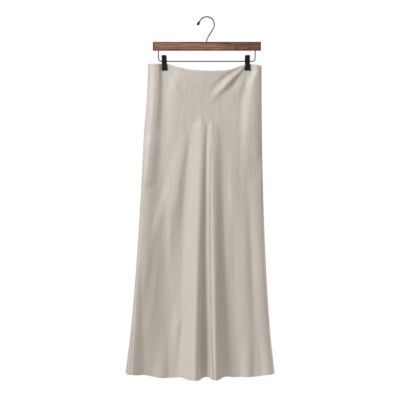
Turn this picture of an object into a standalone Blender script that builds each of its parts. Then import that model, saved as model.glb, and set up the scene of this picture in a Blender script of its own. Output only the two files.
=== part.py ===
"""A straight maxi skirt in satin, held by the two clips of a flat wooden hanger.

Metres, +Z up. The origin is the inner top of the hook, where a rail would carry the hanger. The
wearer's front faces -Y, and the wire, the clips and the waist lie in the plane y = 0. Levels on
the cloth are given as a depth below the origin, called down.
"""

import math
from collections import namedtuple

import bmesh
import bpy
import numpy as np
from mathutils import Matrix, Vector

# Cloth: walls, seams and how finely the panels are built.
CLOTH_WALL = 0.0012
HEM_WALL = 0.0016
BAND_WALL = 0.0016
BAND_HEIGHT = 0.0092
HEM_HEIGHT = 0.0060
SEAM_GAP = 0.0003
SIDE_STEP = 0.0012
FRONT_COLUMNS = 64
BACK_COLUMNS = 46
PANEL_ROWS = 24
ROW_CROWDING = 1.3
END_CROWDING = 0.35
PROFILE_STEPS = 700
LAYER_REST = SEAM_GAP / 2 + BAND_WALL  # each layer's least distance from the plane y = 0
LAYER_PINCHED = SEAM_GAP / 2 + BAND_WALL / 2  # the same inside a clip

# The two side edges as seen from the front.
Edge = namedtuple("Edge", "down left right")
SIDE_EDGES = (
    Edge(0.140, -0.1755, 0.1640),
    Edge(0.236, -0.1791, 0.1644),
    Edge(0.332, -0.1866, 0.1650),
    Edge(0.524, -0.1965, 0.1686),
    Edge(0.716, -0.2085, 0.1755),
    Edge(0.860, -0.2196, 0.1833),
    Edge(0.956, -0.2289, 0.1905),
    Edge(1.066, -0.2430, 0.2028),
)

# Half the tube's depth at its middle, folds left out, and how far the left seam rolls forward.
Depth = namedtuple("Depth", "down front back seam_roll")
TUBE_DEPTHS = (
    Depth(0.140, 0.009, 0.010, 0.000),
    Depth(0.300, 0.013, 0.014, 0.000),
    Depth(0.560, 0.020, 0.022, 0.001),
    Depth(0.800, 0.028, 0.031, 0.006),
    Depth(1.066, 0.036, 0.040, 0.012),
)

# The waist edge and the hem, level by level, from the left seam (0) to the right one (1).
Rim = namedtuple("Rim", "across front back")
WAIST_EDGE = (
    Rim(0.00, 0.1392, 0.1392),
    Rim(0.09, 0.1400, 0.1402),
    Rim(0.14, 0.1394, 0.1397),
    Rim(0.18, 0.1406, 0.1412),
    Rim(0.27, 0.1500, 0.1520),
    Rim(0.36, 0.1572, 0.1600),
    Rim(0.48, 0.1632, 0.1662),
    Rim(0.63, 0.1628, 0.1656),
    Rim(0.74, 0.1554, 0.1574),
    Rim(0.84, 0.1436, 0.1444),
    Rim(0.89, 0.1404, 0.1408),
    Rim(1.00, 0.1452, 0.1452),
)
HEM_EDGE = (
    Rim(0.00, 1.0645, 1.0645),
    Rim(0.09, 1.0660, 1.0680),
    Rim(0.22, 1.0710, 1.0730),
    Rim(0.50, 1.0700, 1.0720),
    Rim(0.80, 1.0690, 1.0700),
    Rim(0.95, 1.0675, 1.0675),
    Rim(1.00, 1.0655, 1.0655),
)

# Folds, as ridges that stand out from the tube, or troughs where rise is negative. Each runs from
# (x0, down0) to (x1, down1), curved sideways by bow at its middle. left and right are the widths
# of its two flanks, crown the share of them that its round top takes, and rise its height, at its
# start (0), middle (m) and end (1).
Fold = namedtuple(
    "Fold", "name x0 down0 x1 down1 bow left0 left1 right0 right1 crown rise0 rise_m rise1"
)
FRONT_FOLDS = (
    Fold("centre_left", -.0090, .284, -.0330, 1.094, -.009, .018, .046, .012, .026, .35, .000, .032, .064),
    Fold("centre_right", .0144, .302, .0300, 1.094, -.002, .014, .017, .012, .021, .38, .000, .026, .058),
    Fold("left_second", -.0531, .320, -.1131, .720, -.009, .020, .036, .009, .018, .10, .000, .012, .000),
    Fold("left_shoulder", -.1530, .130, -.1941, .668, .008, .018, .012, .020, .040, .10, .007, .010, .006),
    Fold("left_lower", -.1521, .580, -.2001, .848, .000, .012, .014, .015, .018, .10, .000, .008, .000),
    Fold("left_hem", -.2091, .818, -.2211, 1.082, .000, .010, .016, .015, .036, .10, .000, .008, .018),
    Fold("left_mid_hem", -.1221, .848, -.1311, 1.088, .000, .020, .027, .014, .020, .10, .000, .005, .014),
    Fold("right_shoulder", .1479, .134, .1479, .398, .000, .014, .020, .012, .014, .10, .007, .006, .002),
    Fold("right_upper", .1089, .503, .1209, .983, .000, .034, .038, .015, .018, .10, .000, .008, .002),
    Fold("right_edge", .1539, .563, .1659, .953, .000, .018, .018, .016, .020, .10, .000, .008, .002),
    Fold("right_mid_hem", .1209, .953, .1209, 1.088, .000, .020, .026, .020, .024, .10, .000, .005, .011),
    Fold("right_corner", .1779, .950, .1899, 1.088, .000, .020, .024, .012, .013, .10, .000, .005, .012),
    Fold("waist_drape", -.0700, .185, .0800, .200, .022, .050, .050, .050, .050, .10, .003, .008, .003),
    Fold("drape_upper", .1119, .149, .0099, .232, .000, .010, .012, .009, .010, .10, -.006, -.005, .000),
    Fold("drape_lower", .1119, .156, .0159, .250, .000, .008, .010, .012, .016, .10, .007, .008, .000),
    Fold("drape_left", -.1100, .160, -.0350, .252, .000, .012, .020, .010, .020, .10, -.003, -.004, .000),
)
BACK_FOLDS = (
    Fold("centre", .0200, .330, .0300, 1.094, .006, .012, .032, .018, .030, .30, .000, .030, .060),
    Fold("left", -.0560, .400, -.0980, 1.094, -.006, .016, .034, .012, .026, .30, .000, .020, .046),
    Fold("right", .0740, .430, .1180, 1.094, .006, .010, .024, .018, .030, .30, .000, .017, .040),
    Fold("left_shoulder", -.1480, .130, -.1700, .620, .004, .020, .016, .018, .036, .10, .006, .009, .003),
    Fold("right_shoulder", .1440, .132, .1500, .640, .004, .020, .034, .016, .014, .10, .007, .009, .003),
    Fold("left_edge", -.1720, .740, -.1930, 1.088, .000, .018, .024, .018, .030, .10, .000, .008, .015),
    Fold("right_edge", .1540, .800, .1730, 1.088, .000, .018, .024, .012, .018, .10, .000, .006, .011),
    Fold("waist_drape", -.0800, .188, .0750, .186, .024, .050, .050, .050, .050, .10, .003, .008, .003),
    Fold("drape_left", -.1120, .152, -.0080, .262, .000, .010, .013, .012, .018, .10, .006, .007, .000),
    Fold("drape_right", .1060, .152, .0200, .248, .000, .010, .012, .012, .016, .10, .005, .006, .000),
)
FOLD_END = 0.030  # a fold dies away over this length past its two ends
FOLD_FREE_EDGE = 0.10  # share of the half width by each side edge over which the folds rise

# Hanger.
BAR_SIZE = Vector((0.3240, 0.0120, 0.0256))
BAR_CENTRE = Vector((0.0006, 0.0, -0.0867))
BAR_ROUNDING = 0.0018
HOOK_WIRE = 0.00165
HOOK_RADIUS = 0.0230
HOOK_TIP_END = math.radians(150)
HOOK_STEM_END = math.radians(-31)
HOOK_NECK_RADIUS = 0.0140
HOOK_TIP_STRAIGHT = 0.0030
TIP_RADIUS = 0.0030
TIP_LENGTH = 0.0110
CLIP_WIRE = 0.00145
WIRE_LEFT = -0.1446
WIRE_RIGHT = 0.1454
WIRE_LEVEL = -0.1318
WIRE_BEND = 0.0092
BORE_DEPTH = 0.0120
WIRE_INSERT = 0.0110
BORE_GAP = 0.0003
ROUND_SIDES = 20

# Clips: the jaws' side profile runs down from the finger end, past the wire, to the pad.
Clip = namedtuple("Clip", "side x tilt valley_drift left_reach right_reach")
CLIPS = (
    Clip("left", -0.1272, math.radians(-2.6), -0.017, 0.021, 0.036),
    Clip("right", 0.1221, 0.0, -0.028, 0.034, 0.020),
)
CLIP_WIDTH = 0.0156
CLIP_TOP = 0.0193
CLIP_BOTTOM = -0.0270
JAW_WALL = 0.0024
JAW_FINGER_GAP = 0.0105
JAW_WIRE_GAP = 0.0050
JAW_PAD_TOP = -0.0068
PAD_GAP = LAYER_PINCHED + BAND_WALL / 2 + SEAM_GAP
JAW_ROUNDING = 0.0008
EAR_RADIUS = 0.0036
EAR_WALL = 0.0011
EAR_BORE = 0.0020
FRONT_EAR = 0.0066
BACK_EAR = 0.0050
SPRING_RADIUS = 0.0031
SPRING_BORE = 0.0018
SPRING_LENGTH = 0.0082
PINCH_FLAT = 0.0105
PINCH_END = 0.1620
VALLEY_LENGTH = 0.300


# --- The cloth's form -------------------------------------------------------------------------


def eased(value):
    """0 to 1 with level ends."""
    value = np.clip(value, 0.0, 1.0)
    return value * value * (3.0 - 2.0 * value)


def smooth(at, places, values):
    """A cubic through a table's rows, with its slopes read from the neighbours."""
    places = np.asarray(places)
    values = np.asarray(values)
    slopes = np.gradient(values, places)
    first = np.clip(np.searchsorted(places, at) - 1, 0, len(places) - 2)
    span = places[first + 1] - places[first]
    t = np.clip((at - places[first]) / span, 0.0, 1.0)
    start = (1 + 2 * t) * (1 - t) ** 2 * values[first] + t * (1 - t) ** 2 * span * slopes[first]
    end = t * t * (3 - 2 * t) * values[first + 1] + t * t * (t - 1) * span * slopes[first + 1]
    return start + end


def column(table, name):
    return [getattr(row, name) for row in table]


def side_edge(side, down):
    return smooth(down, column(SIDE_EDGES, "down"), column(SIDE_EDGES, side))


def tube_depth(side, down):
    return smooth(down, column(TUBE_DEPTHS, "down"), column(TUBE_DEPTHS, side))


def level(side, across, share):
    """The depth below the origin at a share of the way from the waist edge to the hem."""
    waist = smooth(across, column(WAIST_EDGE, "across"), column(WAIST_EDGE, side))
    hem = smooth(across, column(HEM_EDGE, "across"), column(HEM_EDGE, side))
    return waist + share * (hem - waist)


def fold_height(fold, x, down):
    """How far one fold lifts the cloth at (x, down)."""
    run_x = fold.x1 - fold.x0
    run_down = fold.down1 - fold.down0
    length = math.hypot(run_x, run_down)
    along = ((x - fold.x0) * run_x + (down - fold.down0) * run_down) / length**2
    held = np.clip(along, 0.0, 1.0)
    aside = ((x - fold.x0) * run_down - (down - fold.down0) * run_x) / length
    aside = aside - 4.0 * fold.bow * held * (1.0 - held)
    left = fold.left0 + held * (fold.left1 - fold.left0)
    right = fold.right0 + held * (fold.right1 - fold.right0)
    hill = eased((1.0 - np.abs(aside) / np.where(aside < 0, left, right)) / (1.0 - fold.crown))
    early = fold.rise0 + 2.0 * held * (fold.rise_m - fold.rise0)
    late = fold.rise_m + (2.0 * held - 1.0) * (fold.rise1 - fold.rise_m)
    rise = np.where(held < 0.5, early, late)
    past_end = np.maximum(-along, along - 1.0) * length
    return rise * hill * eased(1.0 - past_end / FOLD_END)


def pinch(x, down):
    """1 where a clip holds the two layers together, fading to 0 along the valley below it."""
    held = np.zeros_like(x)
    for clip in CLIPS:
        along = np.clip((down - PINCH_END) / VALLEY_LENGTH, 0.0, 1.0)
        aside = x - clip.x - clip.valley_drift * along
        reach = np.where(aside < 0, clip.left_reach, clip.right_reach)
        flat = PINCH_FLAT * (1.0 - eased(4.0 * along))
        across = eased(1.0 - (np.abs(aside) - flat) / reach)
        held = np.maximum(held, across * (1.0 - along**1.5))
    return held


def stand_off(side, x, down, sweep):
    """The layer's distance from the plane y = 0, where sweep runs from 0 to pi between the sides."""
    folds = FRONT_FOLDS if side == "front" else BACK_FOLDS
    height = tube_depth(side, down) * np.sin(sweep)
    clear_of_edge = eased((1.0 - np.abs(np.cos(sweep))) / FOLD_FREE_EDGE)
    height = height + clear_of_edge * sum(fold_height(fold, x, down) for fold in folds)
    held = pinch(x, down)
    return LAYER_PINCHED * held + (LAYER_REST + np.maximum(height, 0.0)) * (1.0 - held)


def half_profile(side, share):
    """One layer's section, left edge to right edge, as points that start and end on y = 0."""
    sweep = np.linspace(0.0, math.pi, PROFILE_STEPS)
    across = 0.5 - 0.5 * np.cos(sweep)
    down = level(side, across, share)
    left = side_edge("left", down)
    x = left + across * (side_edge("right", down) - left)
    toward = -1.0 if side == "front" else 1.0
    points = np.stack([x, toward * stand_off(side, x, down, sweep), -down], axis=1)
    ends = points[[0, -1]] * (1.0, 0.0, 1.0)
    return np.concatenate([ends[:1], points, ends[1:]])


def lengths_along(points):
    steps = np.linalg.norm(np.diff(points, axis=0), axis=1)
    return np.concatenate([[0.0], np.cumsum(steps)])


def section(side, share, columns):
    """One row of a panel's points, spaced along the cloth from seam to seam."""
    front = half_profile("front", share)
    rolled = tube_depth("seam_roll", level("front", 0.0, share))
    if side == "front":
        loop, start = front, rolled
    else:
        wrapped = lengths_along(front) < rolled + 2.0 * SIDE_STEP
        loop = np.concatenate([front[wrapped][:0:-1], half_profile("back", share)])
        start = lengths_along(front[wrapped])[-1] - rolled
    travelled = lengths_along(loop)
    first = start + SEAM_GAP / 2
    last = travelled[-1] - SEAM_GAP / 2
    even = np.linspace(0.0, 1.0, columns - 2)
    crowded = 0.5 - 0.5 * np.cos(math.pi * even)
    spread = even + END_CROWDING * (crowded - even)
    inner = first + SIDE_STEP + spread * (last - first - 2.0 * SIDE_STEP)
    stops = np.concatenate([[first], inner, [last]])
    return np.stack([np.interp(stops, travelled, loop[:, axis]) for axis in range(3)], axis=1)


# --- Making objects ---------------------------------------------------------------------------


def clear_scene():
    for obj in list(bpy.data.objects):
        bpy.data.objects.remove(obj, do_unlink=True)


def material(name, color, roughness, metallic=0.0, sheen=0.0):
    made = bpy.data.materials.new(name)
    made.use_nodes = True
    shader = made.node_tree.nodes["Principled BSDF"]
    shader.inputs["Base Color"].default_value = (*color, 1.0)
    shader.inputs["Roughness"].default_value = roughness
    shader.inputs["Metallic"].default_value = metallic
    shader.inputs["Sheen Weight"].default_value = sheen
    return made


def add_object(name, data, finish):
    obj = bpy.data.objects.new(name, data)
    obj.data.materials.append(finish)
    bpy.context.scene.collection.objects.link(obj)
    return obj


def mesh_object(name, shape, finish):
    """An object made from a bmesh, which is freed."""
    data = bpy.data.meshes.new(name)
    bmesh.ops.recalc_face_normals(shape, faces=shape.faces)
    shape.to_mesh(data)
    shape.free()
    data.shade_smooth()
    data.set_sharp_from_angle(angle=math.radians(35))
    return add_object(name, data, finish)


def cloth_object(name, side, shares, columns, walls, finish):
    """A panel or band: a sheet of triangles through its sections, given its wall by Solidify."""
    rows = [section(side, share, columns) for share in shares]
    points = np.concatenate(rows)
    faces = []
    for row in range(len(shares) - 1):
        for col in range(columns - 1):
            here = row * columns + col
            corners = (here, here + columns, here + columns + 1, here + 1)
            if side == "back":
                corners = corners[::-1]
            faces.append((corners[0], corners[1], corners[2]))
            faces.append((corners[0], corners[2], corners[3]))
    data = bpy.data.meshes.new(name)
    data.from_pydata([tuple(point) for point in points], [], faces)
    data.shade_smooth()
    obj = add_object(name, data, finish)
    thickest = max(walls)
    group = obj.vertex_groups.new(name="wall")
    for row, wall in enumerate(walls):
        group.add(range(row * columns, (row + 1) * columns), wall / thickest, "REPLACE")
    solid = obj.modifiers.new("wall", "SOLIDIFY")
    solid.thickness = thickest
    solid.offset = 0.0
    solid.use_even_offset = True
    solid.vertex_group = "wall"
    return obj


def wire_object(name, route, radius, finish):
    """A round wire along a route of (x, z) points in the plane y = 0."""
    data = bpy.data.curves.new(name, "CURVE")
    data.dimensions = "3D"
    data.bevel_depth = radius
    data.bevel_resolution = 3
    data.use_fill_caps = True
    line = data.splines.new("POLY")
    line.points.add(len(route) - 1)
    for point, (x, z) in zip(line.points, route):
        point.co = (x, 0.0, z, 1.0)
    return add_object(name, data, finish)


def turned(name, outline, finish):
    """A solid turned about its own X axis from an outline of (x, radius) points."""
    shape = bmesh.new()
    verts = [shape.verts.new((x, 0.0, radius)) for x, radius in outline]
    edges = [shape.edges.new(pair) for pair in zip(verts, verts[1:] + verts[:1])]
    bmesh.ops.spin(
        shape, geom=verts + edges, cent=(0, 0, 0), axis=(1, 0, 0), dvec=(0, 0, 0),
        angle=2 * math.pi, steps=ROUND_SIDES, use_merge=True, use_duplicate=False,
    )
    bmesh.ops.remove_doubles(shape, verts=shape.verts, dist=1e-6)
    bmesh.ops.dissolve_degenerate(shape, edges=shape.edges, dist=1e-6)
    return mesh_object(name, shape, finish)


def cutter(name, radius, length, centre, axis):
    """A hidden round cutter along axis, which Boolean modifiers use."""
    shape = bmesh.new()
    turn = Vector((0, 0, 1)).rotation_difference(Vector(axis)).to_matrix().to_4x4()
    bmesh.ops.create_cone(
        shape, cap_ends=True, segments=ROUND_SIDES, radius1=radius, radius2=radius,
        depth=length, matrix=Matrix.Translation(centre) @ turn,
    )
    data = bpy.data.meshes.new(name)
    shape.to_mesh(data)
    shape.free()
    obj = bpy.data.objects.new(name, data)
    obj.hide_render = True
    obj.display_type = "WIRE"
    bpy.context.scene.collection.objects.link(obj)
    return obj


def cut(obj, tool):
    hole = obj.modifiers.new(tool.name, "BOOLEAN")
    hole.operation = "DIFFERENCE"
    hole.object = tool


def arc(centre, radius, start, end, steps):
    """Points (x, z) on an arc from one angle to another."""
    angles = [start + (end - start) * step / steps for step in range(steps + 1)]
    return [(centre[0] + radius * math.cos(a), centre[1] + radius * math.sin(a)) for a in angles]


# --- The skirt --------------------------------------------------------------------------------


def build_skirt(satin, waist_satin):
    length = level("front", 0.0, 1.0) - level("front", 0.0, 0.0)
    band_end = BAND_HEIGHT / length
    panel_start = (BAND_HEIGHT + SEAM_GAP) / length
    hem_start = 1.0 - HEM_HEIGHT / length
    spread = np.linspace(0.0, 1.0, PANEL_ROWS - 1) ** ROW_CROWDING
    panel_shares = [*(panel_start + spread * (hem_start - panel_start)), 1.0]
    panel_walls = [CLOTH_WALL] * (PANEL_ROWS - 2) + [HEM_WALL, HEM_WALL]
    for side, columns in (("front", FRONT_COLUMNS), ("back", BACK_COLUMNS)):
        cloth_object(f"{side}_panel", side, panel_shares, columns, panel_walls, satin)
        band_walls = [BAND_WALL, BAND_WALL]
        cloth_object(
            f"waistband_{side}", side, (0.0, band_end), columns, band_walls, waist_satin
        )


# --- The hanger -------------------------------------------------------------------------------


def build_bar(walnut):
    shape = bmesh.new()
    bmesh.ops.create_cube(shape, size=1.0, matrix=Matrix.Diagonal((*BAR_SIZE, 1.0)))
    bar = mesh_object("hanger_bar", shape, walnut)
    bar.location = BAR_CENTRE
    rounding = bar.modifiers.new("rounding", "BEVEL")
    rounding.width = BAR_ROUNDING
    rounding.segments = 3
    top = BAR_CENTRE.z + BAR_SIZE.z / 2
    bottom = BAR_CENTRE.z - BAR_SIZE.z / 2
    cut(bar, cutter("hook_bore", HOOK_WIRE + BORE_GAP, 2 * BORE_DEPTH, (0, 0, top), (0, 0, 1)))
    for side, x in (("left", WIRE_LEFT), ("right", WIRE_RIGHT)):
        tool = cutter(f"{side}_bore", CLIP_WIRE + BORE_GAP, 2 * BORE_DEPTH, (x, 0, bottom), (0, 0, 1))
        cut(bar, tool)


def hook_centre():
    """Centre of the hook's arc, in (x, z), with the inner top of the wire at the origin."""
    return 0.0, HOOK_WIRE - HOOK_RADIUS


def build_hook(steel, tip_finish):
    centre = hook_centre()
    start = arc(centre, HOOK_RADIUS, HOOK_TIP_END, HOOK_STEM_END, 22)
    # The straight shank leaves the arc along its tangent, and a neck turns it into the stem.
    lean = -HOOK_STEM_END
    end_x, end_z = start[-1]
    run_to_axis = end_x / math.sin(lean)
    knee = (0.0, end_z - run_to_axis * math.cos(lean))
    cut_back = HOOK_NECK_RADIUS * math.tan(lean / 2)
    neck_centre = (HOOK_NECK_RADIUS, knee[1] - cut_back)
    neck = arc(neck_centre, HOOK_NECK_RADIUS, math.pi - lean, math.pi, 5)
    stem_end = BAR_CENTRE.z + BAR_SIZE.z / 2 - WIRE_INSERT
    heading = (-math.sin(HOOK_TIP_END), math.cos(HOOK_TIP_END))
    tip_root = (
        start[0][0] + HOOK_TIP_STRAIGHT * heading[0],
        start[0][1] + HOOK_TIP_STRAIGHT * heading[1],
    )
    wire_object("hook", [tip_root, *start, *neck, (0.0, stem_end)], HOOK_WIRE, steel)

    # The tip is a turned cap, seated against the wire's cut end.
    dome = arc((TIP_LENGTH - TIP_RADIUS, 0.0), TIP_RADIUS, math.pi / 2, 0.0, 6)
    outline = [(0.0, 0.0), (0.0, HOOK_WIRE + 0.0004), (0.0035, TIP_RADIUS), *dome[:-1]]
    tip = turned("hook_tip", [*outline, (TIP_LENGTH, 0.0)], tip_finish)
    direction = Vector((heading[0], 0.0, heading[1]))
    tip.location = Vector((tip_root[0], 0.0, tip_root[1])) + BORE_GAP * direction
    tip.rotation_euler = Vector((1, 0, 0)).rotation_difference(direction).to_euler()


def build_clip_wire(steel):
    top = BAR_CENTRE.z - BAR_SIZE.z / 2 + WIRE_INSERT
    left_bend = (WIRE_LEFT + WIRE_BEND, WIRE_LEVEL + WIRE_BEND)
    right_bend = (WIRE_RIGHT - WIRE_BEND, WIRE_LEVEL + WIRE_BEND)
    route = [(WIRE_LEFT, top)]
    route += arc(left_bend, WIRE_BEND, math.pi, 1.5 * math.pi, 7)
    route += arc(right_bend, WIRE_BEND, -math.pi / 2, 0.0, 7)
    route.append((WIRE_RIGHT, top))
    wire_object("clip_wire", route, CLIP_WIRE, steel)


def jaw_plate(shape, toward):
    """The jaw's plate: its side profile, extruded across the clip's width."""
    inner = (
        (JAW_FINGER_GAP, CLIP_TOP),
        (JAW_WIRE_GAP, 0.0),
        (PAD_GAP, JAW_PAD_TOP),
        (PAD_GAP, CLIP_BOTTOM),
    )
    outer = [(gap + JAW_WALL, height) for gap, height in inner]
    loop = [*inner, *outer[::-1]]
    verts = [shape.verts.new((-CLIP_WIDTH / 2, toward * gap, height)) for gap, height in loop]
    face = shape.faces.new(verts)
    grown = bmesh.ops.extrude_face_region(shape, geom=[face])
    moved = [item for item in grown["geom"] if isinstance(item, bmesh.types.BMVert)]
    bmesh.ops.translate(shape, verts=moved, vec=(CLIP_WIDTH, 0.0, 0.0))


def jaw_ear(name, toward, x, finish):
    """One ear, which joins the plate to the wire and carries the bore for it."""
    shape = bmesh.new()
    reach = JAW_WIRE_GAP + JAW_WALL / 2
    sides = 10
    outline = [
        (EAR_RADIUS * math.cos(a), EAR_RADIUS * math.sin(a))
        for a in (math.pi / 2 + math.pi * step / sides for step in range(sides + 1))
    ]
    outline += [(reach, -EAR_RADIUS), (reach, EAR_RADIUS)]
    verts = [shape.verts.new((x - EAR_WALL / 2, toward * out, z)) for out, z in outline]
    grown = bmesh.ops.extrude_face_region(shape, geom=[shape.faces.new(verts)])
    moved = [item for item in grown["geom"] if isinstance(item, bmesh.types.BMVert)]
    bmesh.ops.translate(shape, verts=moved, vec=(EAR_WALL, 0.0, 0.0))
    ear = mesh_object(name, shape, finish)
    ear.hide_render = True
    ear.display_type = "WIRE"
    return ear


def build_jaw(clip, face, holder, finish):
    """A front or back jaw, hung on the clip's own pivot empty."""
    toward = -1.0 if face == "front" else 1.0
    name = f"clip_{clip.side}_{face}_jaw"
    shape = bmesh.new()
    jaw_plate(shape, toward)
    jaw = mesh_object(name, shape, finish)
    rounding = jaw.modifiers.new("rounding", "BEVEL")
    rounding.width = JAW_ROUNDING
    rounding.segments = 2
    ear_x = FRONT_EAR if face == "front" else BACK_EAR
    for number, x in enumerate((-ear_x, ear_x)):
        ear = jaw_ear(f"{name}_ear_{number}", toward, x, finish)
        ear.parent = holder
        joined = jaw.modifiers.new(ear.name, "BOOLEAN")
        joined.operation = "UNION"
        joined.object = ear
    bore = cutter(f"{name}_bore", EAR_BORE, 2 * CLIP_WIDTH, (0, 0, 0), (1, 0, 0))
    bore.parent = holder
    cut(jaw, bore)
    jaw.parent = holder


def build_clip(clip, plastic, steel):
    holder = bpy.data.objects.new(f"clip_{clip.side}_pivot", None)
    holder.location = (clip.x, 0.0, WIRE_LEVEL)
    holder.rotation_euler = (0.0, clip.tilt, 0.0)
    bpy.context.scene.collection.objects.link(holder)
    for face in ("front", "back"):
        build_jaw(clip, face, holder, plastic)
    half = SPRING_LENGTH / 2
    outline = [(-half, SPRING_BORE), (-half, SPRING_RADIUS), (half, SPRING_RADIUS), (half, SPRING_BORE)]
    spring = turned(f"clip_{clip.side}_spring", outline, steel)
    spring.location = (clip.x, 0.0, WIRE_LEVEL)


def main():
    clear_scene()
    satin = material("satin", (0.60, 0.54, 0.47), 0.42, sheen=0.2)
    waist_satin = material("waist_satin", (0.60, 0.54, 0.47), 0.45, sheen=0.2)
    walnut = material("walnut", (0.20, 0.085, 0.050), 0.50)
    steel = material("dark_steel", (0.22, 0.22, 0.23), 0.32, metallic=1.0)
    rubber = material("tip_rubber", (0.02, 0.02, 0.02), 0.60)
    plastic = material("clip_black", (0.012, 0.012, 0.012), 0.45)
    build_skirt(satin, waist_satin)
    build_bar(walnut)
    build_hook(steel, rubber)
    build_clip_wire(steel)
    for clip in CLIPS:
        build_clip(clip, plastic, steel)


main()
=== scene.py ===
"""The looks of a satin maxi skirt on a wooden clip hanger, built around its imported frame.

Metres, +Z up. The wearer's front faces -Y. Levels on the cloth are depths below the frame's
origin, called down, which is the inner top of the hook.
"""

import math
from collections import namedtuple

import bmesh
import bpy
import numpy as np
from mathutils import Matrix, Vector


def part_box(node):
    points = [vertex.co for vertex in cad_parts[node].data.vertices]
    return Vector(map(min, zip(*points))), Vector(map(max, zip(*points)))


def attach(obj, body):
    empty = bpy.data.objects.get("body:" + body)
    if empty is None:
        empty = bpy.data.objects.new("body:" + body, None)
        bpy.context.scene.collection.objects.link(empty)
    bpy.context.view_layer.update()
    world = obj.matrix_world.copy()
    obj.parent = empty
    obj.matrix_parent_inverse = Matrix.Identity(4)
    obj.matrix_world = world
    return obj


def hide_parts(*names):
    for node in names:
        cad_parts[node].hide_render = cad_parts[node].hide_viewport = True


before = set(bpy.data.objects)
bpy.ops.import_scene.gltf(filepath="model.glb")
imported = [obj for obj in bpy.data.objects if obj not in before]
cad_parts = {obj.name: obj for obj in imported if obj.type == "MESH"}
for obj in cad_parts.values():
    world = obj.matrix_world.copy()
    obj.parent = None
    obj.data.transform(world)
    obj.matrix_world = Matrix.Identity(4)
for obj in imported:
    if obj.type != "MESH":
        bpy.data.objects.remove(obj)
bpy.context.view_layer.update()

# --- The cloth's sizes ---

CLOTH_WALL = 0.0010
HEM_WALL = 0.0015
BAND_WALL = 0.0016
BAND_HEIGHT = 0.0092
HEM_HEIGHT = 0.0060
SEAM_GAP = 0.0003
SIDE_STEP = 0.0012  # from a seam to the next column of points
END_CROWDING = 0.35  # how much the columns crowd towards the seams: 0 for evenly spaced ones
PROFILE_STEPS = 1500
LAYER_REST = SEAM_GAP / 2 + BAND_WALL  # each layer's least distance from the plane y = 0
LAYER_PINCHED = SEAM_GAP / 2 + BAND_WALL / 2  # the same inside a clip
TUBE_ROUNDNESS = {"front": 0.38, "back": 0.7}  # 1 for an elliptical half, less for a flatter one

# The side edges as seen from the front, as in the frame's solids. The later tables refine theirs.
Edge = namedtuple("Edge", "down left right")
SIDE_EDGES = (
    Edge(.14, -.1755, .164),
    Edge(.236, -.1791, .1644),
    Edge(.332, -.1866, .165),
    Edge(.524, -.1965, .1686),
    Edge(.716, -.2085, .1755),
    Edge(.86, -.2196, .1833),
    Edge(.956, -.2289, .1905),
    Edge(1.066, -.243, .2028),
)

# Half the tube's depth at its middle, folds left out, and how far the left seam rolls forward.
Depth = namedtuple("Depth", "down front back seam_roll")
TUBE_DEPTHS = (
    Depth(.14, .004, .01, 0),
    Depth(.23, .005, .012, 0),
    Depth(.32, .007, .014, 0),
    Depth(.56, .013, .022, .002),
    Depth(.8, .021, .031, .011),
    Depth(1.066, .03, .04, .021),
)

# The waist edge and the hem, from the left seam (0) to the right one (1).
Rim = namedtuple("Rim", "across front back")
WAIST_EDGE = (
    Rim(0, .1392, .1392),
    Rim(.09, .14, .1402),
    Rim(.14, .1394, .1397),
    Rim(.18, .1406, .1412),
    Rim(.27, .15, .152),
    Rim(.36, .1569, .16),
    Rim(.42, .159, .1632),
    Rim(.48, .1607, .1652),
    Rim(.54, .1612, .166),
    Rim(.6, .1611, .1655),
    Rim(.64, .1605, .1644),
    Rim(.68, .1598, .1625),
    Rim(.74, .1554, .1574),
    Rim(.84, .1436, .1444),
    Rim(.89, .1404, .1408),
    Rim(1, .1452, .1452),
)
HEM_EDGE = (
    Rim(0, 1.0625, 1.0625),
    Rim(.04, 1.056, 1.064),
    Rim(.09, 1.06, 1.067),
    Rim(.14, 1.063, 1.0705),
    Rim(.22, 1.0715, 1.0735),
    Rim(.33, 1.075, 1.0738),
    Rim(.38, 1.073, 1.074),
    Rim(.43, 1.0745, 1.0728),
    Rim(.465, 1.0728, 1.0715),
    Rim(.5, 1.0755, 1.0705),
    Rim(.55, 1.069, 1.07),
    Rim(.61, 1.074, 1.0715),
    Rim(.66, 1.0715, 1.0725),
    Rim(.73, 1.0735, 1.072),
    Rim(.8, 1.072, 1.0715),
    Rim(.86, 1.0725, 1.07),
    Rim(.95, 1.0672, 1.0675),
    Rim(1, 1.0645, 1.0645),
)

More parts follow.
